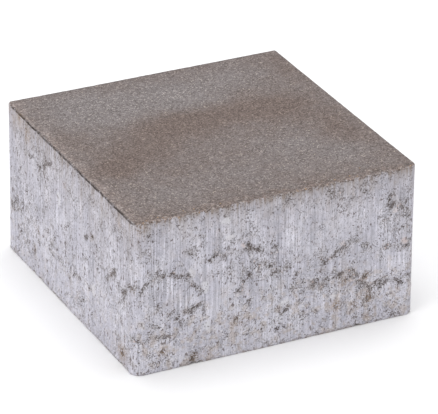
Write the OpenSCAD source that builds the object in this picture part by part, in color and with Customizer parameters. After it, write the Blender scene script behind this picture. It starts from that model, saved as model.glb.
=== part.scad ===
// Concrete paving stone: one square block of vibrated concrete with square-cut
// top edges, as laid in drives and footpaths. It stands on its bed face, centred
// on the origin, with the wearing face up.

/* [Stone] */
// Length of the stone along X
stone_length = 150; // [100:5:300]
// Width of the stone along Y
stone_width = 150; // [100:5:300]
// Thickness from the bed face to the wearing face
stone_height = 80; // [40:5:160]

/* [Edges] */
// Plan radius of the upright corner at -X -Y
front_left_radius = 5; // [1.5:0.5:12]
// Plan radius of the upright corner at +X -Y
front_right_radius = 4; // [1.5:0.5:12]
// Plan radius of the upright corner at +X +Y
back_right_radius = 1.5; // [1.5:0.5:12]
// Plan radius of the upright corner at -X +Y
back_left_radius = 3.5; // [1.5:0.5:12]
// Leg of the fine bevel around the wearing face
arris = 0.5; // [0.3:0.1:0.9]

/* [Hidden] */
// Facets of a full circle; the round corners come out as true cylinders
$fn = 96;
// How far a cutter stands out past the surface that it trims
overcut = 0.5;
half_length = stone_length / 2;
half_width = stone_width / 2;
// Each upright corner: its sign along X and Y, its turn from the +X +Y corner, its radius
CORNERS = [
    [1, 1, 0, back_right_radius],
    [-1, 1, 90, back_left_radius],
    [-1, -1, 180, front_left_radius],
    [1, -1, 270, front_right_radius]
];

// Outline of the stone seen from above. Each corner's square end is taken off the
// rectangle, and a circle is set in its place.
module plan_outline() {
    difference() {
        square([stone_length, stone_width], center = true);
        for (corner = CORNERS)
            translate([corner.x * half_length, corner.y * half_width])
                square(2 * corner[3], center = true);
    }
    for (corner = CORNERS)
        translate([corner.x * (half_length - corner[3]), corner.y * (half_width - corner[3])])
            circle(r = corner[3]);
}

// Section of the bevel cutter: x is the distance out from the wall, y the height
// above the wearing face
module arris_section() {
    polygon([
        [-arris - overcut, overcut],
        [overcut, -arris - overcut],
        [overcut, overcut]
    ]);
}

// Bevel cutter along one straight side whose wall faces +X, `reach` from the centre,
// from `low` to `high` along Y. Its ends run half a corner radius past the straight
// wall, inside what the corner's own cutter takes away, so that the two meet with no gap.
module straight_arris(reach, low, high) {
    translate([reach, high, 0])
        rotate([90, 0, 0])
            linear_extrude(height = high - low)
                arris_section();
}

// Bevel cutter around one upright corner of the given radius, a quarter turn from +X to +Y
module corner_arris(radius) {
    rotate_extrude(angle = 90)
        translate([radius, 0])
            arris_section();
}

// All the cutters of the bevel, on the plane of the wearing face
module arris_cutters() {
    straight_arris(half_length, front_right_radius / 2 - half_width, half_width - back_right_radius / 2);
    rotate(90)
        straight_arris(half_width, back_right_radius / 2 - half_length, half_length - back_left_radius / 2);
    rotate(180)
        straight_arris(half_length, back_left_radius / 2 - half_width, half_width - front_left_radius / 2);
    rotate(270)
        straight_arris(half_width, front_left_radius / 2 - half_length, half_length - front_right_radius / 2);
    for (corner = CORNERS)
        translate([corner.x * (half_length - corner[3]), corner.y * (half_width - corner[3])])
            rotate(corner.z) corner_arris(corner[3]);
}

// The stone itself, moulded in one piece
module paving_stone() {
    color([0.66, 0.64, 0.64])
        difference() {
            linear_extrude(height = stone_height) plan_outline();
            translate([0, 0, stone_height]) arris_cutters();
        }
}

paving_stone();
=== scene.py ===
# %% [markdown]
# # A concrete paving stone
#
# The stone is a square block of vibrated concrete. It was pressed in a steel mould and pushed out while
# still damp, so its four sides were dragged against the mould. They have a pale film of cement with fine
# upright drag marks, and wherever the film didn't reach there are pits and honeycombed crumbs. The
# wearing face on top was struck with fine brown sand. The bed face underneath is coarse and open.
#
# The construction comes from the CAD frame. Here the block gets its real skin: one closed mesh that is
# worked out with numpy, and one material that reads the same marks as the mesh.

# %% Load the frame and measure it
import math

import bpy
import numpy as np
from mathutils import Matrix, Vector


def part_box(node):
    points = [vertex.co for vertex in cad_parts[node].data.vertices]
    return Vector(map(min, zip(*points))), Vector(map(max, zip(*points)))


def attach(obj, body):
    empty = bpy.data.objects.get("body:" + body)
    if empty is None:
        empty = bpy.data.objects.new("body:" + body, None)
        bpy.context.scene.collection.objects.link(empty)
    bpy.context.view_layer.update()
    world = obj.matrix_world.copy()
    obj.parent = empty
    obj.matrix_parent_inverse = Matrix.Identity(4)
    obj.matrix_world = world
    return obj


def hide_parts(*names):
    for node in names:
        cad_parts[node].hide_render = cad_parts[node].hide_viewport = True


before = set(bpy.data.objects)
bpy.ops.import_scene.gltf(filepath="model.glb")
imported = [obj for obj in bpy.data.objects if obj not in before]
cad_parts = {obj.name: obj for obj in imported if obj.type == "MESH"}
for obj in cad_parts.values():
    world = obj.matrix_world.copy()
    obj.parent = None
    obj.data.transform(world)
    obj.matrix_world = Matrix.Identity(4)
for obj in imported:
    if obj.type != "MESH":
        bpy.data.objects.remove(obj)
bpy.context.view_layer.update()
MM = 0.001
low_corner, high_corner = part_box("paving_stone")
HALF = (high_corner.x - low_corner.x) / 2 / MM
HEIGHT = (high_corner.z - low_corner.z) / MM
print(f"the stone is {2 * HALF:.1f} mm square and {HEIGHT:.1f} mm thick")

# %% [markdown]
# The frame's box doesn't say how round the upright corners are, but its mesh does. The flat wall ends
# where the round corner starts, and it ends below the bevel of the top edge too. So the furthest points
# of the left and right walls give all four radii and the bevel.

# %% Measure the round corners and the bevel
cad_mesh = bpy.data.objects["paving_stone"].data
cad_points = np.empty(3 * len(cad_mesh.vertices), np.float32)
cad_mesh.vertices.foreach_get("co", cad_points)
cad_points = cad_points.reshape(-1, 3) / MM


def corner_radius(sign_x, sign_y):
    """Radius of the upright corner on the given side of the middle along X and along Y, in mm."""
    on_wall = cad_points[:, 0] * sign_x > HALF - 0.01
    return HALF - (cad_points[on_wall, 1] * sign_y).max()


RADII = np.array([corner_radius(-1, -1), corner_radius(1, -1), corner_radius(1, 1), corner_radius(-1, 1)])
ARRIS = HEIGHT - cad_points[cad_points[:, 0] < -HALF + 0.01, 2].max()
print(f"the upright corners have radii of {RADII.round(2)} mm, and the bevel is {ARRIS:.2f} mm")

# %% [markdown]
# ## Random numbers that stay the same
#
# Stone needs a lot of chance, and the same chance on every run. A seeded generator would do, but its
# numbers depend on the order of the calls. Here a number depends only on a place: whole-number keys go
# in, and the same number always comes out. Smooth noise and random cells are both built on that.

# %% Noise and cells
STIRRERS = (0x8DA6B343, 0xD8163841, 0xCB1AB31F, 0x9E3779B1, 0x85EBCA6B)


def scatter(*keys):
    """A fixed random number from 0 to 1 for each set of whole numbers.

    Each key is multiplied by its own large odd number, the products are joined by exclusive or, and the
    result is folded onto itself twice, so that neighbouring keys give unlike numbers.
    """
    mixed = np.zeros(1, np.uint32)
    for key, stirrer in zip(keys, STIRRERS):
        mixed = mixed ^ (np.atleast_1d(key).astype(np.int64).astype(np.uint32) * np.uint32(stirrer))
    for shift, stirrer in ((15, 0x2C1B3C6D), (12, 0x297A2D39)):
        mixed = (mixed ^ (mixed >> np.uint32(shift))) * np.uint32(stirrer)
    return (mixed ^ (mixed >> np.uint32(15))) / 2.0**32


def noise(points, size, seed):
    """Smooth noise from -1 to 1, with lumps about `size` millimetres across.

    Space is cut into cubes of that size, each corner has a random number, and a point takes the mean of
    its cube's eight corners. With t the way from one corner to the next, the weight is 3t^2 - 2t^3.
    """
    at = points / size
    low = np.floor(at)
    share = (at - low) ** 2 * (3 - 2 * (at - low))
    total = 0
    for step in np.ndindex(2, 2, 2):
        weight = np.prod(np.where(step, share, 1 - share), axis=-1)
        corner = low + step
        total = total + weight * scatter(corner[..., 0], corner[..., 1], corner[..., 2], seed)
    return 2 * total - 1


def layered_noise(points, size, seed, layers=3):
    """Noise in layers: each layer is half the size and half the height of the one before."""
    total = sum(noise(points, size / 2**layer, seed + layer) / 2**layer for layer in range(layers))
    return total / (2 - 2 ** (1 - layers))


def cells(points, size, seed):
    """Fills space with random cells about `size` millimetres across.

    Each cube of space holds one point at a random place. Returns, for every point of the surface, the
    distance to the nearest of them, how much further the next one is (0 on the border of two cells),
    both in cell sizes, and the nearest one's own random number from 0 to 1.
    """
    at = points / size
    low = np.floor(at)
    first = np.full(at.shape[:-1], 9.0)
    second = first.copy()
    number = np.zeros_like(first)
    for step in np.ndindex(3, 3, 3):
        cube = low + step - 1
        keys = (cube[..., 0], cube[..., 1], cube[..., 2], seed)
        place = cube + np.stack([scatter(*keys, axis) for axis in (1, 2, 3)], axis=-1)
        distance = np.linalg.norm(at - place, axis=-1)
        nearer = distance < first
        second = np.where(nearer, first, np.minimum(second, distance))
        number = np.where(nearer, scatter(*keys, 4), number)
        first = np.where(nearer, distance, first)
    return first, second - first, number


def smooth_step(value, start, end):
    """Goes from 0 at `start` to 1 at `end`, as 3t^2 - 2t^3 with t the share of the way."""
    share = np.clip((value - start) / (end - start), 0, 1)
    return share * share * (3 - 2 * share)


print("a few fixed random numbers:", scatter(np.arange(3), 0, 0, 7).round(3))

# %% [markdown]
# ## The outline and its grids
#
# The skin is a tube around the four walls, closed by a cap above and below. A wall point is found from
# two numbers, how far round it lies and how far up. All caps use the same outline formula, with the
# square shrinking to nothing in the middle, so that their borders match the walls point for point.
# The sides are numbered as they come when walking round the stone with the wall on the left hand: front
# (-Y), right (+X), back (+Y), left (-X).

# %% The outline formula
FRONT, RIGHT, BACK, LEFT = range(4)


def outline(side, share, inset=0.0, ring=1.0):
    """A point of a round-cornered square, and the direction it faces, both seen from above.

    `share` runs from -1 to 1 along a side, from the middle of one round corner to the middle of the
    next, at an even pace. On the flat it is the distance from the side's middle, and past the flat the
    rest of the distance is the arc of a circle. The side is then turned by a quarter turn for each
    number after the front's. The square lies `inset` inside the stone's and is then shrunk to `ring` of
    its size. Its corner radius shrinks with the cube of that, so that it is square near the middle.
    """
    real_radius = np.where(share < 0, RADII[side], RADII[(side + 1) % 4])
    radius = np.maximum(real_radius - inset, 0) * ring**3
    flat = (HALF - inset) * ring - radius
    walked = share * (flat + math.pi / 4 * radius)
    angle = np.maximum(np.abs(walked) - flat, 0) / np.maximum(radius, 1e-6)
    sign = np.sign(walked)
    across = sign * (np.minimum(np.abs(walked), flat) + radius * np.sin(angle))
    out = flat + radius * np.cos(angle)
    turn_x, turn_y = np.array([1, 0, -1, 0])[side], np.array([0, 1, 0, -1])[side]
    place = np.stack([across * turn_x + out * turn_y, across * turn_y - out * turn_x], axis=-1)
    facing_x, facing_y = sign * np.sin(angle), -np.cos(angle)
    facing = np.stack([facing_x * turn_x - facing_y * turn_y, facing_x * turn_y + facing_y * turn_x], -1)
    return place, facing


QUARTER = 2 * HALF - (2 - math.pi / 2) * RADII.mean()
AROUND = 4 * QUARTER
print(f"once round the stone is {AROUND:.1f} mm")

# %% [markdown]
# The rows are closer together near the top, where the sand of the wearing face meets the side. The
# columns are even. The two sharp-looking edges are really small rounds of half a millimetre. The mould
# widens a little downwards so that the stone can leave it, which makes the wearing face half a
# millimetre smaller all round than the bed face.

# %% Rows and columns of the walls
SIDE_CELLS = 170
COLUMNS = 4 * SIDE_CELLS
FOOT = 0.5
TAPER = 0.5
FRINGE_ROWS = np.array([ARRIS, 0.75, 1.05, 1.4, 1.85, 2.4, 3.1, 3.9, 4.7])
LOWER_ROWS = np.linspace(4.7, HEIGHT - FOOT, 81)[1:]

foot_angle = np.radians([0, 45])
top_angle = np.radians([30, 60, 90])
wall_drop = np.concatenate([FRINGE_ROWS, LOWER_ROWS])[::-1]
row_height = np.concatenate([
    FOOT * (1 - np.cos(foot_angle)), HEIGHT - wall_drop, HEIGHT - ARRIS * (1 - np.sin(top_angle))])
row_inset = np.concatenate([
    FOOT * (1 - np.sin(foot_angle)), 0 * wall_drop, ARRIS * (1 - np.cos(top_angle))])
row_inset = row_inset + TAPER * row_height / HEIGHT
row_tilt = np.concatenate([foot_angle - math.pi / 2, 0 * wall_drop, top_angle])

column = np.arange(COLUMNS)
column_side = column // SIDE_CELLS
column_share = 2 * (column % SIDE_CELLS) / SIDE_CELLS - 1
wall_xy, wall_facing = outline(column_side, column_share)
wall_around = (column_side + (column_share + 1) / 2) * QUARTER

ROWS = len(row_height)
wall_base = np.empty((ROWS, COLUMNS, 3))
wall_base[..., :2] = wall_xy - row_inset[:, None, None] * wall_facing
wall_base[..., 2] = row_height[:, None]
wall_normal = np.empty_like(wall_base)
wall_normal[..., :2] = np.cos(row_tilt)[:, None, None] * wall_facing
wall_normal[..., 2] = np.sin(row_tilt)[:, None]
wall_s = np.broadcast_to(wall_around, (ROWS, COLUMNS))
wall_d = np.broadcast_to(HEIGHT - row_height[:, None], (ROWS, COLUMNS))
print(f"the walls have {ROWS} rows of {COLUMNS} points")

# %% [markdown]
# ## Where the marks are
#
# The marks on the front and left sides are this stone's own, so they are listed one by one: in
# millimetres from the side's left end as one faces it, and down from the wearing face. The two other
# sides get marks of the same kind from a seeded generator, since every cast stone has its own. Calm
# places hold back the flecks that lie scattered everywhere else.


# %% Loose bands, listed one by one
def placed(marks):
    """Puts the number of its side in front of every mark."""
    return [(side, *mark) for side, rows in marks.items() for mark in rows]


# Each band is (half width, strength, points): a strip where the film is broken into crumbs
BANDS = placed({
    FRONT: [
        (1.5, 1.0, [(4, 37), (6, 32), (10, 30), (16, 29), (21, 30), (27, 32), (31, 37), (35, 42)]),
        (3.4, 0.45, [(3, 14), (8, 18), (9, 23)]),
        (3.0, 0.65, [(29, 19), (34, 23)]),
        (2.6, 0.75, [(40, 26), (44, 24), (47, 26)]),
        (2.6, 0.95, [(57, 21), (60, 25), (66, 27)]),
        (2.4, 0.55, [(72, 22), (74, 30), (71, 37)]),
        (2.6, 0.75, [(56, 46), (62, 38), (70, 41), (78, 40), (88, 42)]),
        (1.7, 0.85, [(84, 43), (95, 42), (103, 40), (110, 35), (118, 33)]),
        (2.6, 0.55, [(120, 37), (128, 39), (140, 42)]),
        (2.4, 0.72, [(19, 51), (27, 52), (34, 49)]),
        (3.6, 0.6, [(20, 52), (29, 57)]),
        (2.4, 0.5, [(58, 54), (66, 51), (75, 50)]),
        (2.8, 0.95, [(84, 50), (92, 51), (100, 52), (106, 49), (115, 51), (122, 53)]),
        (3.4, 1.0, [(114, 50), (120, 54), (124, 60), (127, 66)]),
        (1.6, 1.0, [(124, 58), (132, 60), (142, 59), (149, 57)]),
        (3.6, 0.55, [(100, 4), (109, 8)]),
        (2.8, 0.45, [(123, 5), (131, 4)]),
        (3.0, 0.4, [(80, 4), (86, 10)]),
        (2.6, 0.9, [(135, 14), (138, 23), (143, 18), (145, 26), (147, 34), (146, 45)]),
        (1.5, 1.0, [(-2, 61), (3, 62), (7, 61), (12, 62), (17, 62)]),
        (3.6, 0.5, [(53, 60), (62, 66)]),
        (1.6, 0.7, [(74, 60), (78, 64), (81, 60)]),
        (2.6, 0.6, [(29, 77), (37, 73)]),
        (2.8, 0.55, [(8, 53), (13, 56)]),
        (8.0, 0.50, [(60, 36), (82, 38)]),
        (6.5, 0.45, [(20, 50), (32, 56)]),
        (7.5, 0.42, [(98, 52), (124, 58)]),
        (6.0, 0.45, [(135, 15), (146, 40)]),
        (6.0, 0.35, [(5, 18), (10, 22)]),
        (5.0, 0.35, [(58, 23), (68, 28)]),
        (4.0, 0.48, [(84, 43), (103, 40), (118, 33)]),
        (3.4, 0.42, [(5, 34), (16, 29), (31, 37)]),
        (3.6, 0.48, [(124, 58), (149, 57)]),
        (2.6, 0.55, [(4, 3), (8, 8)]),
        (2.0, 0.45, [(17, 3), (24, 5)]),
    ],
    LEFT: [
        (7.0, 0.34, [(38, 14), (50, 22)]),
        (8.0, 0.35, [(108, 36), (142, 44)]),
        (9.0, 0.31, [(8, 48), (30, 68)]),
        (7.0, 0.30, [(52, 50), (92, 56)]),
        (8.0, 0.29, [(125, 8), (145, 20)]),
        (6.0, 0.28, [(14, 22), (20, 34)]),
        (1.8, 0.7, [(13, 20), (28, 17), (42, 18), (50, 11), (56, 8)]),
        (1.6, 0.75, [(46, 8), (48, 13), (44, 20)]),
        (1.3, 0.9, [(94, 32), (99, 29), (104, 27)]),
        (2.0, 0.95, [(118, 42), (124, 38), (128, 34)]),
        (2.6, 0.8, [(138, 40), (144, 35), (149, 33)]),
        (1.8, 0.8, [(9, 46), (14, 47), (20, 48)]),
        (1.1, 0.6, [(55, 58), (75, 58), (90, 57), (106, 57)]),
        (1.1, 0.55, [(70, 73), (82, 70), (95, 66)]),
        (1.6, 0.5, [(34, 43), (46, 40)]),
        (1.8, 0.6, [(55, 43), (59, 50), (53, 57)]),
        (1.1, 0.6, [(80, 48), (92, 44), (101, 40)]),
        (2.6, 0.55, [(14, 62), (22, 67)]),
        (2.2, 0.6, [(139, 63), (149, 60)]),
        (2.4, 0.55, [(125, 3), (134, 8)]),
    ],
})

# %% Pits, pebbles, stains and calm places, listed one by one
# Each pit is (across, down, radius, strength)
PITS = placed({
    FRONT: [
        (42, 26, 1.3, 1.1), (46, 25, 1.0, 0.9), (62, 25, 1.5, 1.4), (66, 27, 1.2, 1.2),
        (97, 22, 1.6, 1.0), (15, 69, 1.7, 1.6), (31, 77, 1.6, 1.5), (75, 71, 1.8, 1.4),
        (79, 71, 1.5, 1.2), (107, 66, 1.7, 1.4), (117, 69, 1.3, 1.1), (125, 66, 1.5, 1.2),
        (122, 67, 1.2, 1.2), (131, 61, 2.0, 1.7), (142, 61, 1.7, 1.7), (123, 54, 1.3, 1.4),
        (134, 29, 1.5, 0.9), (110, 35, 1.1, 1.2), (59, 58, 1.1, 1.0), (147, 68, 1.5, 1.0),
        (124, 76, 1.4, 1.2), (115, 51, 1.2, 1.4),
    ],
    LEFT: [
        (71, 15, 1.2, 0.9), (72, 22, 1.1, 0.9), (72, 36, 1.5, 1.3), (98, 30, 1.0, 1.3),
        (102, 27, 1.1, 1.4), (107, 30, 1.1, 1.3), (110, 20, 1.0, 1.1), (124, 37, 1.9, 1.6),
        (145, 35, 1.7, 1.3), (50, 36, 1.2, 1.1), (17, 37, 1.1, 1.0), (38, 54, 1.8, 1.5),
        (33, 67, 1.7, 1.5), (33, 78, 1.3, 1.2), (76, 61, 1.3, 1.2), (92, 42, 1.0, 1.2),
        (81, 49, 1.0, 1.0), (97, 65, 1.1, 1.1), (77, 72, 1.0, 1.0), (103, 2, 1.0, 1.2),
        (110, 5, 0.9, 1.1), (137, 73, 2.6, 1.5), (140, 69, 1.6, 1.2),
    ],
})
# Each pebble is (across, down, half width, half height, tone): tone 0 is pale grey, 1 is pink
PEBBLES = placed({
    FRONT: [
        (48, 8, 2.8, 1.8, 0.0), (50, 17, 2.5, 1.7, 0.1), (37, 40, 2.2, 3.4, 0.0), (38, 61, 2.2, 3.0, 0.0),
        (30, 31, 1.8, 3.4, 0.1), (79, 58, 2.6, 1.5, 0.0), (61, 29, 1.4, 1.1, 0.1),
        (57, 23, 1.3, 1.4, 0.9), (65, 37, 1.5, 1.1, 0.2), (106, 61, 1.3, 1.3, 0.1),
        (139, 22, 2.0, 1.3, 0.5), (144, 39, 2.0, 1.9, 1.0), (116, 54, 1.8, 1.3, 0.9),
        (110, 33, 1.5, 1.0, 0.6), (131, 63, 1.3, 1.0, 0.4), (148, 65, 1.0, 1.8, 0.3),
    ],
    LEFT: [
        (64, 25, 2.4, 3.6, 0.0), (105, 55, 2.6, 3.2, 0.1),
    ],
})
# Each stain is (across, down, radius, strength): an ochre or brown bloom around a pit
STAINS = placed({
    FRONT: [
        (15, 69, 2.2, 0.9), (31, 77, 2.6, 0.9), (107, 66, 2.6, 1.0), (117, 68, 2.6, 0.5),
        (123, 53, 1.8, 1.0), (124, 76, 1.8, 0.8), (126, 66, 3.0, 0.6), (55, 63, 4.0, 0.4),
        (112, 53, 4.5, 0.5), (38, 76, 4.0, 0.3), (4, 3, 3.0, 0.5),
    ],
    LEFT: [
        (137, 73, 4.6, 1.0), (124, 37, 2.6, 0.4), (26, 7, 4.5, 0.6), (17, 3, 5.0, 0.5),
        (38, 54, 2.0, 0.6), (33, 67, 2.0, 0.6), (71, 15, 1.8, 0.5), (2, 2, 3.0, 0.6), (10, 6, 4.0, 0.35),
        (102, 28, 2.4, 0.35), (147, 35, 2.4, 0.4), (133, 6, 3.0, 0.4),
    ],
})
# Each calm place is (across, down, half width, half height): the film there is nearly whole
CALM = placed({
    FRONT: [
        (20, 15, 13, 10), (88, 17, 20, 12), (116, 22, 15, 12), (19, 41, 10, 7), (47, 46, 7, 12),
        (137, 51, 11, 6), (97, 60, 9, 5),
    ],
    LEFT: [
        (62, 28, 11, 12), (28, 28, 13, 7), (84, 10, 12, 6), (118, 62, 12, 10), (60, 68, 10, 6),
    ],
})
print(f"{len(BANDS)} bands, {len(PITS)} pits, {len(PEBBLES)} pebbles and {len(STAINS)} stains by hand")


# %% Marks of the same kind for the other two sides
def chance_marks(side, seed):
    """Adds marks to one side: bands wander across it in steps of 5 to 9 mm at a gentle slope."""
    chance = np.random.default_rng(seed)
    for _ in range(17):
        place = chance.uniform((4, 8), (140, 74))
        slope = chance.normal(0, 0.45)
        points = [tuple(place)]
        for _ in range(chance.integers(1, 6)):
            stride = chance.uniform(5, 9)
            place = place + (stride, stride * slope + chance.normal(0, 1.4))
            points.append(tuple(place))
        BANDS.append((side, chance.uniform(1.2, 3.2), chance.uniform(0.45, 1.0), points))
    for _ in range(20):
        across, down = chance.uniform((3, 6), (147, 78))
        radius = chance.uniform(1.0, 1.9)
        PITS.append((side, across, down, radius, radius * chance.uniform(0.7, 1.0)))
        if chance.random() < 0.4:
            STAINS.append((side, across, down, radius * 1.6, chance.uniform(0.3, 0.9)))
    for _ in range(11):
        across, down = chance.uniform((6, 8), (144, 72))
        PEBBLES.append((side, across, down, *chance.uniform(1.2, 3.0, 2), chance.random() ** 2))
    for _ in range(6):
        across, down = chance.uniform((15, 12), (135, 66))
        CALM.append((side, across, down, *chance.uniform(7, 16, 2)))


chance_marks(RIGHT, 11)
chance_marks(BACK, 12)
print(f"{len(BANDS)} bands, {len(PITS)} pits and {len(PEBBLES)} pebbles on all four sides")

# %% [markdown]
# ## From marks to fields
#
# A field is one number for every point of the walls. The distance to a listed line or spot is
# measured on the unrolled wall, after the wall has been bent a little by noise, so that nothing comes
# out as a ruled line or a true circle.

# %% Distances on the unrolled wall
bent_s = wall_s + 1.7 * layered_noise(wall_base, 3.0, 21)
bent_d = wall_d + 1.7 * layered_noise(wall_base, 3.0, 31)


def wall_offset(side, across, down):
    """How far each wall point lies round the stone and down from one place, the short way round."""
    s = (side + 0.5) * QUARTER + across - HALF
    return (bent_s - s + AROUND / 2) % AROUND - AROUND / 2, bent_d - down


def distance_to_path(side, points):
    """The shortest distance to a line through several points: the least over its straight pieces.

    On a piece from a to b, the nearest place is a + t(b - a), with t the share of the way, from 0 to 1,
    at which the rest stands square on the piece.
    """
    nearest = np.full(wall_s.shape, np.inf)
    for start, end in zip(points[:-1], points[1:]):
        off_s, off_d = wall_offset(side, *start)
        run_s, run_d = end[0] - start[0], end[1] - start[1]
        share = np.clip((off_s * run_s + off_d * run_d) / (run_s**2 + run_d**2), 0, 1)
        nearest = np.minimum(nearest, np.hypot(off_s - share * run_s, off_d - share * run_d))
    return nearest


# %% Values that change from side to side
def along_sides(values):
    """Spreads one value for each side round the stone, blending over the last few millimetres."""
    share = (wall_around / QUARTER) % 1
    here = values[column_side]
    before = values[(column_side - 1) % 4]
    after = values[(column_side + 1) % 4]
    blend_in = 0.5 * (1 - smooth_step(share, 0, 0.05))
    blend_out = 0.5 * smooth_step(share, 0.95, 1)
    return here * (1 - blend_in - blend_out) + before * blend_in + after * blend_out


# %% Loose film
# How much of the film is loose outside the bands, on each side
SCATTER = np.array([0.40, 0.40, 0.36, 0.32])
loose = np.zeros(wall_s.shape)
for side, half_width, strength, points in BANDS:
    falling = strength * np.exp(-((distance_to_path(side, points) / half_width) ** 2))
    loose = np.maximum(loose, falling)
calm = np.zeros(wall_s.shape)
for side, across, down, half_width, half_height in CALM:
    off_s, off_d = wall_offset(side, across, down)
    calm = np.maximum(calm, 1 - smooth_step(np.hypot(off_s / half_width, off_d / half_height), 0.5, 1.1))
uneven = smooth_step(layered_noise(wall_base, 7.0, 41, 4), -0.45, 0.5)
scattered = along_sides(SCATTER) * uneven * (1 - 0.75 * calm)
loose = np.clip(np.maximum(loose, scattered) * (0.82 + 0.8 * noise(wall_base, 2.4, 44)), 0, 1)
print(f"{(loose > 0.3).mean():.0%} of the walls is loose")

# %% Pits, pebbles and stains as fields
pit = np.zeros(wall_s.shape)
for side, across, down, radius, strength in PITS:
    off_s, off_d = wall_offset(side, across, down)
    spread = np.hypot(off_s, off_d * 0.85) / radius
    pit = np.maximum(pit, strength * np.exp(-(spread**2)))

pebble = np.zeros(wall_s.shape)
pebble_rim = np.zeros(wall_s.shape)
pebble_tone = np.zeros(wall_s.shape)
for side, across, down, half_width, half_height, tone in PEBBLES:
    off_s, off_d = wall_offset(side, across, down)
    spread = np.hypot(off_s / half_width, off_d / half_height)
    cover = 1 - smooth_step(spread, 0.8, 1.1)
    pebble_tone = np.where(cover > pebble, tone, pebble_tone)
    pebble = np.maximum(pebble, cover)
    pebble_rim = np.maximum(pebble_rim, np.exp(-(((spread - 1.2) / 0.22) ** 2)))

stain = np.zeros(wall_s.shape)
for side, across, down, radius, strength in STAINS:
    off_s, off_d = wall_offset(side, across, down)
    stain = np.maximum(stain, strength * np.exp(-(np.hypot(off_s, off_d) / radius) ** 2))
print(f"{(pit > 0.5).mean():.1%} of the walls lies in a pit")

# %% [markdown]
# ## The fringe under the top edge
#
# The brown sand of the wearing face laps over the front edge and ends in a ragged line of coarse
# grains, and its dust tints the film for several millimetres more. On the left and back sides there is
# hardly any lap: the facing ends in a thin lip with a crevice just under it, where it pulled away
# from the mould, and brown drips run down from it. The mesh gives the crevice a shallow groove, and
# the material paints a nearly black line along it as painted shade.

# %% Fringe and crevice
# How far the sand reaches down each side and how much that varies, in millimetres
FRINGE_REACH = np.array([0.55, 0.55, 0.3, 0.2])
FRINGE_SWING = np.array([1.3, 1.2, 0.5, 0.2])
# How open the crevice is on each side, from 0 to 1
CREVICE = np.array([0.0, 0.0, 0.8, 1.0])
# How much dust there is under the edge of each side, and how many times further it runs
DUST_AMOUNT = np.array([1.0, 1.0, 0.78, 0.80])
DUST_RUN = np.array([1.0, 1.0, 1.8, 2.3])
# How far under the edge the middle of the crevice lies, and how deep its groove is, in millimetres
CREVICE_DROP = 0.45
GROOVE_DEPTH = 0.45

edge_line = np.concatenate([wall_xy, np.full((COLUMNS, 1), HEIGHT)], axis=1)
reach = along_sides(FRINGE_REACH) + along_sides(FRINGE_SWING) * layered_noise(edge_line, 14.0, 61, 4)
fringe = reach - wall_d
drip_length = 2.5 + 7.5 * smooth_step(layered_noise(edge_line, 7.0, 66, 4), -0.5, 0.5)
drip_length = drip_length * along_sides(DUST_RUN)
dust = along_sides(DUST_AMOUNT) * np.exp(-wall_d / drip_length) * (1 + 0.5 * noise(wall_base, 2.6, 68))
gaping = smooth_step(layered_noise(edge_line, 7.0, 71, 4), -0.4, 0.2)
crevice_open = along_sides(CREVICE) * (0.55 + 0.45 * gaping)
crevice_open = crevice_open * smooth_step((column_share + 1) * HALF, 4, 8) * np.ones((ROWS, 1))
print(f"the fringe reaches {reach.min():.1f} to {reach.max():.1f} mm down")

# %% [markdown]
# ## Hollows in the film
#
# The film breaks up into torn flecks, not into neat spots. The noise that decides where is bent by other
# noise first, and it is stretched upright on the left side, where the mould dragged at it. Thin seams
# between crumbs of 2 mm join the flecks. The hollow field is that noise, spread so that its standard
# deviation is 0.5, less a threshold that the bands and pits bring down: the film is gone where the
# field and a finer noise of the material add up to more than 0.

# %% The hollow field
UPRIGHT_STRETCH = np.array([1.15, 0.9, 1.1, 0.62])
WHOLE_FILM = 2.4
bend = np.stack([noise(wall_base, 2.6, seed) for seed in (91, 92, 93)], axis=-1)
torn_place = wall_base + 1.2 * bend
torn_place[..., 2] = torn_place[..., 2] * along_sides(UPRIGHT_STRETCH)
torn = layered_noise(torn_place, 2.1, 94, 3)
_, crumb_gap, _ = cells(torn_place, 2.3, 98)
seam = 1 - smooth_step(crumb_gap, 0.0, 0.28)
opening = np.maximum(2.45 * loose**0.65, 2.4 * pit)
hollow = 0.5 * torn / torn.std() + 0.6 * seam * loose + opening - WHOLE_FILM
hollow = hollow * (1 - pebble) - 1.5 * pebble
gone, deep = (hollow > 0).mean(), (hollow > 0.8).mean()
print(f"the film is gone from {gone:.0%} of the walls, deeply from {deep:.1%}")

# %% [markdown]
# ## The relief of the walls
#
# The relief is how far a point stands out of the plain block, in millimetres. It adds up, from large to
# small: the slight wave of a cast wall, lumps in the lower part that was compacted less, upright drag
# marks, the hollows, the pebbles, and the crevice with its lip.

# %% Relief of the walls
wave = 0.10 * noise(wall_base, 40.0, 81)
lumps = 0.16 * layered_noise(wall_base, 5.0, 82) * smooth_step(wall_d, 38, 62)
drag = 0.05 * noise(wall_base, np.array([1.8, 1.8, 26.0]), 85) * (1 - loose)
sand = 0.10 * noise(wall_base, 1.1, 95) * smooth_step(fringe, -0.6, 0.6)
near_corner = smooth_step(np.abs(column_share), 0.945, 0.975)
sunken = 0.6 * smooth_step(hollow, -0.5, 1.1) * (1 - 0.75 * near_corner)
sunken = sunken + 0.28 * pebble_rim * (pebble < 0.5)
groove = GROOVE_DEPTH * crevice_open * np.exp(-(((wall_d - CREVICE_DROP) / 0.25) ** 2))
lip = 0.14 * crevice_open * np.exp(-((wall_d / 0.5) ** 2))
wall_relief = wave + lumps + drag + sand + lip + 0.3 * pebble - sunken - groove - 0.1 * loose
print(f"the walls' relief runs from {wall_relief.min():.2f} to {wall_relief.max():.2f} mm")

# %% [markdown]
# ## The wearing face
#
# The top is a grid of the same outline, shrunk ring by ring. Its sand stands about a tenth of a
# millimetre in and out. A few grains have popped out and left pinholes, and next to the left edge the
# lip of the crevice is slightly raised.


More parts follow.
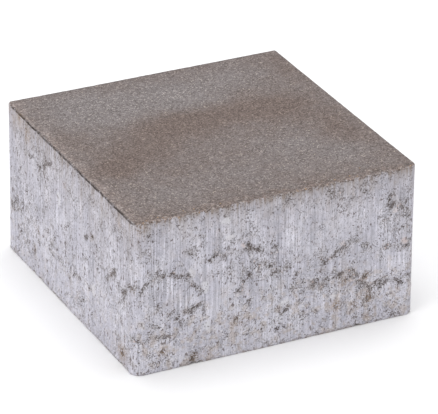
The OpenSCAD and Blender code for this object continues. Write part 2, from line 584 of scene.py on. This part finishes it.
# %% A cap grid from the outline
def cap_grid(cells_across, inset, height):
    """A square grid bent to the outline: a point's ring is how near it lies to the border.

    With x and y from -1 to 1 over the grid, the ring is the larger of |x| and |y|, and the share along
    the ring's side is the other one divided by it.
    """
    y, x = np.meshgrid(*[np.linspace(-1, 1, cells_across + 1)] * 2, indexing="ij")
    ring = np.maximum(np.abs(x), np.abs(y))
    side = np.select([y <= -ring, x >= ring, y >= ring], [FRONT, RIGHT, BACK], LEFT)
    other = np.select([side == FRONT, side == RIGHT, side == BACK], [x, y, -x], -y)
    share = other / np.maximum(ring, 1e-9)
    place, _ = outline(side, share, inset, ring)
    return np.concatenate([place, np.full((*x.shape, 1), height)], axis=-1)


def border_of(cells_across):
    """The grid numbers of a cap's border points, in the order of the walls' columns."""
    walk = np.arange(cells_across)
    row = np.concatenate([0 * walk, walk, 0 * walk + cells_across, cells_across - walk])
    across = np.concatenate([walk, 0 * walk + cells_across, cells_across - walk, 0 * walk])
    return row * (cells_across + 1) + across


top_base = cap_grid(SIDE_CELLS, ARRIS + TAPER, HEIGHT)
print(f"the wearing face has {top_base.shape[0]} x {top_base.shape[1]} points")


# %% Relief of the wearing face
HOLE_DEPTH = 0.45


def top_relief_at(points):
    """Height of the sand, and depth of its holes, in mm.

    It is a slow wave, fine sand in two sizes and a raised lip along the left edge, less the pinholes.
    """
    slow = 0.07 * noise(points, 38.0, 101)
    fine = 0.07 * noise(points, 1.7, 102) + 0.06 * noise(points, 0.9, 103)
    reach, _, number = cells(points, 4.6, 105)
    holes = HOLE_DEPTH * (number > 0.8) * (1 - smooth_step(reach, 0.12, 0.24))
    from_left = points[..., 0] + HALF
    raised = 0.22 * np.exp(-(((from_left - 1.8) / 1.2) ** 2))
    return slow + fine + raised - holes, holes


top_relief, top_holes = top_relief_at(top_base)
shoulder = smooth_step(row_tilt, 0, math.pi / 2)[:, None]
wall_relief = wall_relief * (1 - shoulder) + top_relief_at(wall_base)[0] * shoulder
print(f"the wearing face's relief runs from {top_relief.min():.2f} to {top_relief.max():.2f} mm")

# %% [markdown]
# The sand isn't one even tone. Water and cement left broad clouds, brown in a band from the left edge to
# the right and greyer on both sides of it. Each one is a soft ellipse.

# %% Clouds of the wearing face
# Each cloud is (x, y, reach along x, reach along y, strength): browner above 0, greyer below 0
CLOUDS = [
    (-57, -18, 9, 8, 1.2), (-40, -6, 20, 13, 0.8), (-12, 14, 22, 13, 1.0), (20, 16, 24, 10, 0.8),
    (44, 12, 16, 14, 0.9), (60, -22, 14, 22, 0.6), (-62, 24, 9, 26, 0.2), (-42, 48, 22, 18, -1.2),
    (2, 47, 26, 15, -1.1), (42, 55, 22, 14, -0.3), (30, -30, 26, 14, -0.35), (52, -46, 16, 12, -0.45),
    (-40, -50, 24, 11, -0.3), (-4, -48, 22, 12, -0.25), (68, 50, 10, 20, 0.4),
]


def cloud_at(points):
    """How brown (above 0) or grey (below 0) the sand is: the clouds' sum, plus noise of two sizes."""
    total = 0.22 * layered_noise(points, 17.0, 131) + 0.16 * noise(points, 5.0, 135)
    for x, y, reach_x, reach_y, strength in CLOUDS:
        away = ((points[..., 0] - x) / reach_x) ** 2 + ((points[..., 1] - y) / reach_y) ** 2
        total = total + strength * np.exp(-away)
    return total


print(f"clouds from {cloud_at(top_base).min():.2f} to {cloud_at(top_base).max():.2f}")

# %% [markdown]
# ## The bed face
#
# The underside lay on the pallet. It is flat, with open pores between the coarse grains, and everything
# on it goes inwards so that the stone still stands on the plane of the bed face. Nobody sees it in use,
# so its grid is half as fine, and one ring of triangles joins it to the walls.

# %% Relief of the bed face
BED_CELLS = SIDE_CELLS // 2
BED_RIM = 1.4
bed_base = cap_grid(BED_CELLS, FOOT + BED_RIM, 0.0)
grain_reach, grain_gap, grain_number = cells(bed_base, 4.2, 111)
bed_holes = smooth_step(0.2 + 0.25 * layered_noise(bed_base, 16.0, 113) - grain_number, 0, 0.1)
bed_depth = 1.1 * bed_holes * (1 - smooth_step(grain_reach, 0.25, 0.65))
bed_depth = np.maximum(bed_depth, 0.35 * (1 - smooth_step(grain_gap, 0.05, 0.35)))
bed_depth = bed_depth * smooth_step(HALF - np.abs(bed_base[..., :2]).max(axis=-1), 2, 5)
print(f"the bed face's pores are up to {bed_depth.max():.1f} mm deep")

# %% [markdown]
# ## Chips
#
# Knocks take scoops out of the edges. Each one is a ball: a point inside it is pushed straight away
# from its middle to its surface. Balls at the foot have their middle below the floor and those at the
# top above the wearing face, so that a push never goes out of the block.


# %% Chips along the edges
def chip_list():
    """Balls as (x, y, z, radius), mm: the stone's own chips first, then small chance ones."""
    chips = [
        (HALF + 0.8, -HALF - 0.8, -0.4, 3.9),
        (-HALF - 0.6, HALF + 0.6, HEIGHT + 0.8, 2.6),
        (HALF + 0.3, -HALF - 0.3, HEIGHT + 0.6, 2.0),
        (-44.0, -HALF - 0.7, -0.3, 2.3),
        (44.0, -HALF - 0.6, -0.4, 1.9),
        (-HALF - 0.7, 42.0, -0.3, 1.9),
        (-HALF - 0.7, -61.0, -0.3, 1.7),
    ]
    chance = np.random.default_rng(5)
    for _ in range(34):
        place, _ = outline(chance.integers(0, 4), chance.uniform(-1, 1))
        radius = chance.uniform(0.9, 1.9)
        chips.append((*(place * (1 + 0.55 / HALF)), -0.3, radius))
    for _ in range(26):
        place, _ = outline(chance.integers(0, 4), chance.uniform(-1, 1))
        radius = chance.uniform(0.7, 1.25)
        chips.append((*(place * (1 + 0.3 / HALF)), HEIGHT + 0.35, radius))
    return chips


def scoop(points, chips):
    """Pushes points out of every ball; the ball's radius is uneven by a fifth. Also returns the push."""
    moved = points.copy()
    for *middle, radius in chips:
        away = moved - middle
        distance = np.linalg.norm(away, axis=-1)
        uneven = radius * (1 + 0.2 * noise(moved, 1.4, 121))
        inside = distance < uneven
        moved[inside] = np.array(middle) + away[inside] * (uneven / distance)[inside, None]
    return moved, np.linalg.norm(moved - points, axis=-1)


CHIPS = chip_list()
print(f"{len(CHIPS)} chips")

# %% [markdown]
# ## One closed mesh
#
# The points of the walls, the top grid and the bed grid go into one list. The top grid's border is the
# walls' last row, so those numbers are shared and the skin has no seam. Every point also keeps what the
# material has to know: how deep in a void it is, how loose the film is, and so on.

# %% All points, and what each one knows
wall_points = wall_base + wall_relief[..., None] * wall_normal
top_points = top_base + top_relief[..., None] * (0, 0, 1)
bed_points = bed_base + bed_depth[..., None] * (0, 0, 1)
inner = np.ones(top_base.shape[:2], bool)
inner.reshape(-1)[border_of(SIDE_CELLS)] = False

inside_front = HALF + top_base[..., 1]
inside_left = HALF + top_base[..., 0]
near_left = 1 - smooth_step(inside_left + 2.0 * noise(top_base, 9.0, 142), 2, 9)
FACTS = ("hollow", "loose", "fringe", "pebble", "tone", "stain", "dust", "cloud", "edge", "lip", "crevice")


def facts_of(base, **known):
    """Every fact for one part of the skin: the ones that are given, and 0 for the rest."""
    return {name: np.zeros(base.shape[:2]) + known.get(name, 0) for name in FACTS}


top_facts = facts_of(
    top_base,
    hollow=3 * top_holes / HOLE_DEPTH - 3,
    fringe=4 + np.minimum(inside_front, inside_left),
    cloud=cloud_at(top_base),
    edge=1 - smooth_step(inside_front + 2.5 * noise(top_base, 9.0, 141), 2, 10),
    lip=near_left * smooth_step(top_base[..., 1], -HALF + 2, -HALF + 8),
)
wall_facts = facts_of(
    wall_base,
    hollow=hollow,
    loose=loose,
    fringe=fringe,
    pebble=pebble,
    tone=pebble_tone,
    stain=stain,
    dust=dust,
    cloud=cloud_at(wall_base),
    edge=smooth_step(wall_base[..., 1], -HALF + 4, -HALF + 1),
    crevice=crevice_open,
)
# The bed's pores carry the hollow fact, so the material paints them dark too: painted shade in the pores
bed_facts = facts_of(bed_base, hollow=3.2 * np.clip(bed_depth / 0.8, 0, 1) - 1.6, loose=0.55, fringe=-20)
facts = {
    name: np.concatenate([wall_facts[name].ravel(), top_facts[name][inner], bed_facts[name].ravel()])
    for name in FACTS
}
plain_points = np.concatenate([wall_points.reshape(-1, 3), top_points[inner], bed_points.reshape(-1, 3)])
skin_points, facts["chip"] = scoop(plain_points, CHIPS)
facts["chip"] = np.clip(facts["chip"] / 0.25, 0, 1)
skin_points[:, 2] = np.maximum(skin_points[:, 2], 0)
print(f"{len(skin_points)} points")

# %% [markdown]
# The faces are four-sided wherever the grid is, and every one is listed anticlockwise as seen from
# outside, which makes it face outwards. The same loops give the picture map: the walls unrolled in two
# strips, and the two caps beside each other, all at one scale.

# %% Faces and the picture map
wall_number = np.arange(ROWS * COLUMNS).reshape(ROWS, COLUMNS)
top_number = np.empty(inner.shape, int)
top_number[inner] = ROWS * COLUMNS + np.arange(inner.sum())
top_number.reshape(-1)[border_of(SIDE_CELLS)] = wall_number[-1]
bed_number = ROWS * COLUMNS + inner.sum() + np.arange(bed_base[..., 0].size).reshape(bed_base.shape[:2])


def quads(number):
    """The four corners of every cell of a grid of point numbers, anticlockwise: rows up, columns right."""
    corners = [number[:-1, :-1], number[:-1, 1:], number[1:, 1:], number[1:, :-1]]
    return np.stack(corners, axis=-1).reshape(-1, 4)


wrapped_number = np.concatenate([wall_number, wall_number[:, :1]], axis=1)
wall_faces = quads(wrapped_number)
top_faces = quads(top_number)
bed_faces = quads(bed_number)[:, ::-1]

fine = wall_number[0]
coarse = bed_number.ravel()[border_of(BED_CELLS)]
here, middle, after = fine[0::2], fine[1::2], np.roll(fine, -2)[0::2]
coarse_after = np.roll(coarse, -1)
ring_faces = np.concatenate([
    np.stack([middle, here, coarse], axis=-1),
    np.stack([coarse_after, middle, coarse], axis=-1),
    np.stack([after, middle, coarse_after], axis=-1),
])
print(f"{len(wall_faces) + len(top_faces) + len(bed_faces)} quads and {len(ring_faces)} triangles")

# %% Corners of the picture map
# The map's side in millimetres: the two strips and a cap above them take up 318
MAP_SIZE = 322.0
MARGIN = 3.0
TOP_LEFT, BED_LEFT = 2.0, 2 * HALF + 3.0
row_length = np.concatenate([[0], np.cumsum(np.hypot(np.diff(row_height), np.diff(row_inset)))])


def wall_map():
    """Place of every wall face's corners on the map, mm: half the way round in each of two strips."""
    around = np.append(wall_around, AROUND)
    corner_s = quads(np.broadcast_to(around, wrapped_number.shape))
    corner_t = quads(np.broadcast_to(row_length[:, None], wrapped_number.shape))
    second = corner_s.mean(axis=1, keepdims=True) > AROUND / 2
    left = MARGIN + corner_s - second * AROUND / 2
    strip_height = row_length[-1] + MARGIN
    return np.stack([left, MARGIN + corner_t + second * strip_height], axis=-1)


def cap_map(faces, left):
    """Place of every cap face's corners on the map, mm: the cap as seen from above, shifted."""
    flat = plain_points[faces][..., :2] * (HALF - 1.5) / HALF + HALF
    return flat + (left, MARGIN + 2 * (row_length[-1] + MARGIN))


maps = [wall_map()]
maps += [cap_map(faces, left) for faces, left in (
    (top_faces, TOP_LEFT), (bed_faces, BED_LEFT), (ring_faces, BED_LEFT))]
map_corners = np.concatenate([corners.reshape(-1, 2) for corners in maps]) / MAP_SIZE
print(f"the map spans {map_corners.min(axis=0).round(3)} to {map_corners.max(axis=0).round(3)}")


# %% Build the mesh
def build_skin():
    """Puts the arrays into one mesh object, in metres, at the origin."""
    faces = [wall_faces, top_faces, bed_faces, ring_faces]
    sizes = np.concatenate([np.full(len(block), block.shape[1]) for block in faces])
    starts = np.concatenate([[0], np.cumsum(sizes)[:-1]])
    loops = np.concatenate([block.ravel() for block in faces])
    mesh = bpy.data.meshes.new("stone_skin")
    mesh.vertices.add(len(skin_points))
    mesh.vertices.foreach_set("co", (skin_points * MM).ravel())
    mesh.loops.add(len(loops))
    mesh.loops.foreach_set("vertex_index", loops)
    mesh.polygons.add(len(sizes))
    mesh.polygons.foreach_set("loop_start", starts)
    mesh.polygons.foreach_set("use_smooth", np.ones(len(sizes), bool))
    mesh.update(calc_edges=True)
    mesh.uv_layers.new(name="OFBake").uv.foreach_set("vector", map_corners.ravel())
    for name, values in facts.items():
        mesh.attributes.new(name, "FLOAT", "POINT").data.foreach_set("value", values)
    skin = bpy.data.objects.new("stone_skin", mesh)
    bpy.context.scene.collection.objects.link(skin)
    return skin


stone_skin = build_skin()
triangles = 2 * (len(wall_faces) + len(top_faces) + len(bed_faces)) + len(ring_faces)
print(f"the skin has {triangles} triangles, and is sound: {not stone_skin.data.validate()}")

# %% [markdown]
# ## Sums in a node tree
#
# A material's maths is a chain of Math nodes, which is hard to read as a list of nodes. The small class
# below wraps an output so that `1 - mask` adds the node by itself. Every other node comes from one
# method that takes its type, its settings and its inputs.


# %% A number in a node tree
class Wire:
    """One output of a node. Sums with it add Math nodes to its tree."""

    def __init__(self, tree, socket):
        self.tree = tree
        self.socket = socket

    def output(self, name):
        """Another output of the same node."""
        return Wire(self.tree, self.socket.node.outputs[name])

    def sum(self, operation, first, second):
        return node(self.tree, "ShaderNodeMath", {"operation": operation}, {0: first, 1: second})

    def __add__(self, other):
        return self.sum("ADD", self, other)

    def __sub__(self, other):
        return self.sum("SUBTRACT", self, other)

    def __rsub__(self, other):
        return self.sum("SUBTRACT", other, self)

    def __mul__(self, other):
        return self.sum("MULTIPLY", self, other)

    def __lt__(self, other):
        return self.sum("LESS_THAN", self, other)

    def __gt__(self, other):
        return self.sum("GREATER_THAN", self, other)

    __radd__ = __add__
    __rmul__ = __mul__

    def largest(self, other):
        return self.sum("MAXIMUM", self, other)

    def step(self, start, end):
        """Goes from 0 at `start` to 1 at `end`, smoothly."""
        ends = {"Value": self, "From Min": start, "From Max": end}
        return node(self.tree, "ShaderNodeMapRange", {"interpolation_type": "SMOOTHSTEP"}, ends)


def node(tree, kind, settings=None, inputs=None, output=0):
    """Adds a node: its settings first, then the values or wires of its inputs. Returns one output, if any."""
    made = tree.nodes.new(kind)
    for name, value in (settings or {}).items():
        if name == "stops":
            for _ in value[2:]:
                made.color_ramp.elements.new(0.5)
            for element, (position, colour) in zip(made.color_ramp.elements, value):
                element.position = position
                element.color = (*colour, 1)
        else:
            setattr(made, name, value)
    for name, value in (inputs or {}).items():
        if isinstance(value, Wire):
            tree.links.new(value.socket, made.inputs[name])
        else:
            made.inputs[name].default_value = value
    return None if output is None else Wire(tree, made.outputs[output])


concrete = bpy.data.materials.new("cast_concrete")
concrete.use_nodes = True
concrete.node_tree.nodes.clear()
tree = concrete.node_tree
print("material", concrete.name)

# %% [markdown]
# ## Patterns of the concrete
#
# Positions are read in millimetres in the stone's own frame. A pattern that was dragged along the mould
# is the same noise with the upright direction squeezed, so that its lumps come out as long streaks.

# %% Places, noises and crumbs for the material
MIX_COLOUR = 2
place_m = node(tree, "ShaderNodeTexCoord", output="Object")
place = node(tree, "ShaderNodeVectorMath", {"operation": "SCALE"}, {0: place_m, "Scale": 1 / MM})


def squeezed(upright):
    """The place with its upright direction multiplied, so that 0.05 gives streaks 20 times as long."""
    return node(tree, "ShaderNodeVectorMath", {"operation": "MULTIPLY"}, {0: place, 1: (1, 1, upright)})


def mottle(vector, size, detail=2.0, roughness=0.5):
    """Noise from about 0.2 to 0.8, with lumps about `size` millimetres across."""
    inputs = {"Vector": vector, "Scale": 1 / size, "Detail": detail, "Roughness": roughness}
    return node(tree, "ShaderNodeTexNoise", {"noise_dimensions": "3D"}, inputs)


def crumbs(vector, size):
    """Random cells: the distance to a cell's middle in cell sizes, and its own number from 0 to 1."""
    distance = node(tree, "ShaderNodeTexVoronoi", {"feature": "F1"}, {"Vector": vector, "Scale": 1 / size})
    number = node(tree, "ShaderNodeSeparateColor", inputs={0: distance.output("Color")})
    return distance, number


def tint(factor, first, second):
    """Blends two colours."""
    inputs = {0: factor, 6: first, 7: second}
    for name in (6, 7):
        if not isinstance(inputs[name], Wire):
            inputs[name] = (*inputs[name], 1)
    return node(tree, "ShaderNodeMix", {"data_type": "RGBA"}, inputs, MIX_COLOUR)


def dimmed(colour, amount):
    """A colour multiplied by a number."""
    return node(tree, "ShaderNodeVectorMath", {"operation": "SCALE"}, {0: colour, "Scale": amount})


def filtered(colour, other):
    """Two colours multiplied, part by part."""
    return node(tree, "ShaderNodeVectorMath", {"operation": "MULTIPLY"}, {0: colour, 1: other})


def fact(name):
    """What the mesh knows at this place."""
    return node(tree, "ShaderNodeAttribute", {"attribute_name": name}, output="Fac")


axes = node(tree, "ShaderNodeSeparateXYZ", inputs={0: place})
drop = HEIGHT - axes.output("Z")
left_side = (0 - axes.output("X")).step(HALF - 4, HALF - 1)
loose_film = fact("loose")
streaked = squeezed(0.035)
hairline = mottle(streaked, 0.5, 1.0)
streak = mottle(streaked, 1.3, 2.0)
scratch = mottle(squeezed(0.02), 0.8, 0.0)
polish = mottle(squeezed(0.35), 16.0, 2.0).step(0.36, 0.54) * (1 - loose_film.step(0.15, 0.6))
cloudy = mottle(squeezed(0.6), 11.0, 3.0)
blotch = mottle(place, 2.6, 3.0)
powder = mottle(place, 0.4, 2.0)
fray = mottle(place, 0.85, 2.0, 0.6)
grit = mottle(place, 0.5, 1.0)
print("patterns ready")

# %% [markdown]
# ## The cement film of the sides
#
# Pale lavender grey. It is streaked where the mould polished it, warmer and more mottled low down, and
# brown with dust under the top edge. The mesh says where the film is gone; a finer noise frays the
# borders of its flecks before they are cut out. Tiny specks and short upright dashes lie between them.
# The flecks are dark partly from the mortar under the film and partly as painted shade in the hollows,
# and their deepest cores are painted nearly black as painted shade. Chalky rims round the flecks and
# pale crumbs in the loose film are partly pale grains and partly painted highlight on lit crumb edges.

# %% Tones of the film
FILM = (0.496, 0.486, 0.550)
FILM_PALE = (0.590, 0.579, 0.642)
MATRIX = (0.330, 0.314, 0.324)
WARM = (0.455, 0.396, 0.372)
DUST = (0.300, 0.256, 0.236)

lower_part = drop.step(38, 62)
polish = polish * (1 - 0.55 * lower_part)
film = tint(cloudy.step(0.40, 0.64), FILM, FILM_PALE)
film = tint(loose_film.step(0.1, 0.9) * 0.3, film, MATRIX)
earthy = mottle(place, 4.2, 2.0)
film = tint(earthy.step(0.48, 0.66) * (0.18 + 0.55 * lower_part) * (1 - 0.6 * left_side), film, WARM)
brightness = 1 + (hairline - 0.5) * (0.45 + 0.65 * polish) + (streak - 0.5) * (0.30 + 0.35 * polish)
brightness = brightness + 0.52 * (blotch - 0.5) + 0.60 * (powder - 0.5)
brightness = brightness + 0.035 * lower_part
brightness = brightness + polish * 0.14 * scratch.step(0.60, 0.66) - 0.13 * (1 - scratch.step(0.32, 0.38))
film = dimmed(film, brightness)
film = tint(fact("dust") * (0.35 + 0.8 * streak.step(0.3, 0.7)), film, DUST)
print("tones ready")

# %% Pebbles, flecks with painted shade, pale crumbs with painted highlight, and specks in the film
# Dark tones of the open flecks: partly the mortar's own colour, partly painted shade in the hollows. The
# darker one also colours the real specks and dashes
FLECK_AND_SHADE = (0.150, 0.122, 0.121)
PALE_FLECK_AND_SHADE = (0.262, 0.226, 0.222)
# Painted shade for the deepest hollows
VOID_SHADE = (0.095, 0.078, 0.069)
PALE_PEBBLE = (0.660, 0.650, 0.685)
PINK_PEBBLE = (0.610, 0.500, 0.480)
# Chalky white: used for real chalky grains, and as painted highlight on lit crumb edges
CHALK_AND_HIGHLIGHT = (0.690, 0.672, 0.695)

pebble_cover = fact("pebble")
film = tint(pebble_cover * 0.7, film, tint(fact("tone"), PALE_PEBBLE, PINK_PEBBLE))
opened = fact("hollow") + 9.0 * (fray - 0.5) + 6.5 * (grit - 0.5)
# Where the film is gone the colour darkens, partly the mortar and partly painted shade in the hollow; the
# deepest cores get painted shade alone
flecks = opened.step(0.05, 0.5)
void_shade = opened.step(0.8, 1.5)
# A pale rim round each fleck: partly chalky torn film, partly painted highlight on the lit edge
torn_rim_and_highlight = opened.step(-1.1, -0.5) - flecks
speck_noise = mottle(squeezed(0.7), 0.65, 1.5)
specks = (speck_noise + 0.20 * loose_film + 0.12 * (cloudy - 0.5)).step(0.65, 0.71) * (1 - pebble_cover)
dash_noise = mottle(squeezed(0.5), 1.2, 1.5)
dashes = (dash_noise + 0.08 * (cloudy - 0.5) + 0.07 * loose_film + 0.028 * left_side).step(0.67, 0.705)
film = tint(torn_rim_and_highlight * loose_film * 0.7, film, CHALK_AND_HIGHLIGHT)
chalk = mottle(place, 0.8, 2.0)
film = tint(chalk.step(0.58, 0.68) * (0.15 + 0.85 * loose_film + 0.7 * lower_part), film, CHALK_AND_HIGHLIGHT)
film = tint((specks * 0.6).largest(dashes * 0.8), film, FLECK_AND_SHADE)
# Painted shade in the hollows: the flecks, and nearly black in their cores
film = tint(flecks * 0.9, film, tint(earthy.step(0.40, 0.60), FLECK_AND_SHADE, PALE_FLECK_AND_SHADE))
film = tint(void_shade * 0.75, film, VOID_SHADE)
# Pale crumbs in the loose film: partly pale grains, partly painted highlight on lit crumb edges
crumb_reach, crumb_number = crumbs(place, 1.5)
pale_crumbs_and_highlights = (crumb_number > 0.76) * (1 - crumb_reach.step(0.26, 0.42)) * loose_film.step(0.25, 0.6)
film = tint(pale_crumbs_and_highlights * 0.8, film, tint(earthy.step(0.46, 0.56), CHALK_AND_HIGHLIGHT, PINK_PEBBLE))
print("film ready")

# %% [markdown]
# ## The sand of the wearing face
#
# Brown and grey grains about half a millimetre across, some coarser dark and pale ones, and broad brown and
# grey clouds. Along the front edge the grains are coarser and darker with some ochre, and the lip on the
# left is paler. The same sand makes the fringe, so the two share a colour and the fringe's depth
# decides which of the two finishes shows.

# %% Sand colour
GRAINS = [
    (0.00, (0.098, 0.082, 0.077)),
    (0.28, (0.154, 0.132, 0.125)),
    (0.62, (0.196, 0.171, 0.165)),
    (0.90, (0.240, 0.213, 0.207)),
    (1.00, (0.380, 0.333, 0.302)),
]
BROWN_CAST = (0.855, 0.765, 0.718)
GREY_CAST = (1.14, 1.17, 1.21)
OCHRE = (0.400, 0.265, 0.150)
DARK_GRAIN = (0.085, 0.068, 0.060)
PALE_GRAIN = (0.400, 0.360, 0.340)
DARK_EDGE_GRAIN = (0.100, 0.080, 0.070)
PALE_EDGE_GRAIN = (0.410, 0.372, 0.350)
PALE_SPECK = (0.520, 0.450, 0.390)

grain_reach_wire, grain_number_wire = crumbs(place, 0.55)
coarse_reach, coarse_number = crumbs(place, 1.05)
sparse_reach, sparse_number = crumbs(place, 2.4)
edge_reach, edge_number = crumbs(place, 1.6)
sand_colour = node(tree, "ShaderNodeValToRGB", {"stops": GRAINS}, {"Fac": grain_number_wire})
front_edge, left_lip = fact("edge"), fact("lip")
cast = fact("cloud") + (1.6 * front_edge + 0.6 * left_lip) * (blotch - 0.32)
sand_colour = filtered(sand_colour, tint(cast.step(-0.9, 0.9), GREY_CAST, BROWN_CAST))
both_edges = front_edge + left_lip
sand_bright = 0.985 + 0.55 * (powder - 0.5) + 0.30 * (blotch - 0.5) + 1.3 * both_edges * (blotch - 0.5)
rim = both_edges * (1 - fact("fringe").step(5.2, 6.8))
sand_bright = sand_bright + 0.04 * front_edge + 0.28 * left_lip + 0.20 * rim
sand_colour = dimmed(sand_colour, sand_bright)
coarse_disc = 1 - coarse_reach.step(0.30, 0.45)
dark_grains = (coarse_number < 0.14 + 0.34 * front_edge) * coarse_disc
pale_grains = (coarse_number > 0.92) * coarse_disc
ochre_grains = (coarse_number > 0.84) * (coarse_number < 0.84 + 0.045 * front_edge) * coarse_disc
sand_colour = tint(dark_grains * (0.45 + 0.3 * front_edge), sand_colour, DARK_GRAIN)
sand_colour = tint(pale_grains * (0.14 + 0.4 * front_edge + 0.3 * left_lip), sand_colour, PALE_GRAIN)
sand_colour = tint(ochre_grains * 0.9, sand_colour, OCHRE)
edge_disc = (1 - edge_reach.step(0.28, 0.46)) * both_edges
sand_colour = tint((edge_number < 0.30) * edge_disc * 0.6, sand_colour, DARK_EDGE_GRAIN)
sand_colour = tint((edge_number > 0.84) * edge_disc * 0.7, sand_colour, PALE_EDGE_GRAIN)
pale_specks = (sparse_number > 0.95) * (1 - sparse_reach.step(0.12, 0.19))
sand_colour = tint(pale_specks * 0.8, sand_colour, PALE_SPECK)
print("sand ready")

# %% Sand or film, painted shade in the crevice, stains and chips
FALLEN_GRAIN = (0.130, 0.100, 0.084)
# Painted shade for the crevice under the lip
CREVICE_SHADE = (0.045, 0.034, 0.028)
STAIN_BROWN = (0.20, 0.135, 0.085)
FOOT_DIRT = (0.230, 0.178, 0.140)
CHIPPED = (0.300, 0.262, 0.240)

open_crevice = fact("crevice")
swing = (blotch - 0.5) * 3.0 + (coarse_number - 0.5) * 2.2 + (fray - 0.5) * 3.0
ragged = fact("fringe") + swing * (1 - 0.85 * open_crevice)
sandy = ragged.step(-0.35, 0.35)
base_colour = tint(sandy, film, sand_colour)
fallen_grains = (coarse_number < 0.32 * fact("dust") * fact("dust")) * coarse_disc * (1 - sandy)
base_colour = tint(fallen_grains * 0.6, base_colour, FALLEN_GRAIN)
# Painted shade: a nearly black line along the crevice under the lip, where the groove lies in shadow
off_line = drop - CREVICE_DROP - 0.8 * (mottle(squeezed(0.1), 6.0, 2.0) - 0.5)
crevice_core = 1 - (off_line * off_line).step(0.07, 0.34)
shaded_crevice_line = open_crevice * crevice_core * (0.45 + 0.55 * blotch.step(0.38, 0.5))
base_colour = tint(shaded_crevice_line * 0.95, base_colour, CREVICE_SHADE)
stain_grain = (fray * 0.6 + grit * 0.4).step(0.42, 0.56)
stain_colour = tint(grit.step(0.4, 0.6), STAIN_BROWN, OCHRE)
base_colour = tint(fact("stain") * stain_grain * (1 - 0.85 * void_shade), base_colour, stain_colour)
foot_dirt = drop.step(HEIGHT - 2.0, HEIGHT - 0.3) * blotch.step(0.44, 0.60)
base_colour = tint(foot_dirt * 0.65, base_colour, FOOT_DIRT)
base_colour = tint(fact("chip") * 0.7, base_colour, CHIPPED)
print("colour ready")

# %% [markdown]
# ## Surface of the concrete
#
# Fine relief that is too small for the mesh goes into a bump, in millimetres: grains, streaks and the
# frayed borders of the flecks. Concrete is matt all over, the film slightly less so than the sand.

# %% Bump, roughness and the shader
sand_height = 0.11 * (1 - grain_reach_wire) + 0.10 * grain_number_wire + 0.10 * powder
film_height = 0.07 * hairline + 0.06 * streak + 0.04 * powder + 0.10 * fray - 0.30 * flecks - 0.15 * specks
height = sand_height * sandy + film_height * (1 - sandy) - 0.4 * shaded_crevice_line
bumped = node(tree, "ShaderNodeBump", inputs={"Strength": 1.0, "Distance": MM, "Height": height})
shader = node(tree, "ShaderNodeBsdfPrincipled", inputs={
    "Base Color": base_colour,
    "Roughness": 0.82 + 0.12 * sandy,
    "Specular IOR Level": 0.25,
    "Normal": bumped,
})
node(tree, "ShaderNodeOutputMaterial", inputs={"Surface": shader}, output=None)
stone_skin.data.materials.append(concrete)
print(f"{len(tree.nodes)} nodes")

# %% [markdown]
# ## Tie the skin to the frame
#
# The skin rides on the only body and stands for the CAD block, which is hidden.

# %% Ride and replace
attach(stone_skin, "root")
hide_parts("paving_stone")

# %% [markdown]
# ## Floor, light and camera
#
# A plain pale floor, a white surround that lights every side, a large soft light above and a weaker one
# on the left, so that the left side is a little brighter than the front. The camera sees the surround
# brighter than the stone does, so that the background is nearly white from above. Seen from low down,
# the far part of the floor still makes a grey band behind the stone.

# %% Floor
FLOOR_SIZE = 12.0


def make_floor():
    """A flat square under the stone."""
    half = FLOOR_SIZE / 2
    mesh = bpy.data.meshes.new("floor")
    corners = [(-half, -half, 0), (half, -half, 0), (half, half, 0), (-half, half, 0)]
    mesh.from_pydata(corners, [], [(0, 1, 2, 3)])
    floor = bpy.data.objects.new("floor", mesh)
    bpy.context.scene.collection.objects.link(floor)
    paint = bpy.data.materials.new("pale_floor")
    paint.use_nodes = True
    paint.node_tree.nodes["Principled BSDF"].inputs["Base Color"].default_value = (0.88, 0.88, 0.885, 1)
    paint.node_tree.nodes["Principled BSDF"].inputs["Roughness"].default_value = 0.9
    mesh.materials.append(paint)
    return floor


make_floor()
print("floor ready")


# %% Lights
def soft_light(name, place, size, power):
    """A square light that faces the middle of the stone. Place and size are in metres."""
    light = bpy.data.lights.new(name, "AREA")
    light.size = size
    light.energy = power
    holder = bpy.data.objects.new(name, light)
    holder.location = place
    aim = Vector((0, 0, 0.04)) - Vector(place)
    holder.rotation_euler = aim.to_track_quat("-Z", "Y").to_euler()
    holder.visible_camera = False
    bpy.context.scene.collection.objects.link(holder)


surround = bpy.data.worlds.new("surround")
surround.use_nodes = True
surround.node_tree.nodes["Background"].inputs["Color"].default_value = (1, 1, 1, 1)
seen = node(surround.node_tree, "ShaderNodeLightPath", output="Is Camera Ray")
surround_strength = 0.72 + 0.26 * seen
surround.node_tree.links.new(
    surround_strength.socket, surround.node_tree.nodes["Background"].inputs["Strength"])
bpy.context.scene.world = surround
soft_light("light_above", (0.1, 0.2, 1.9), 1.6, 22)
soft_light("light_left", (-1.5, -0.5, 1.1), 1.1, 9)
bpy.context.scene.view_settings.view_transform = "Standard"
print("lights ready")

# %% Camera
CAMERA_PLACE = Vector((-663.7, -1341.9, 792.2)) * MM
CAMERA_AIM = Vector((4.8, -2.7, 40.0)) * MM
CAMERA_ROLL = math.radians(0.59)
LENS = 280.55

camera_data = bpy.data.cameras.new("camera")
camera_data.lens = LENS
camera_data.sensor_width = 36
camera_data.clip_start = 0.05
camera = bpy.data.objects.new("camera", camera_data)
look = (CAMERA_AIM - CAMERA_PLACE).to_track_quat("-Z", "Y").to_matrix().to_4x4()
camera.matrix_world = Matrix.Translation(CAMERA_PLACE) @ look @ Matrix.Rotation(CAMERA_ROLL, 4, "Z")
bpy.context.scene.collection.objects.link(camera)
bpy.context.scene.camera = camera
print("camera at", tuple(round(value, 3) for value in camera.matrix_world.translation))
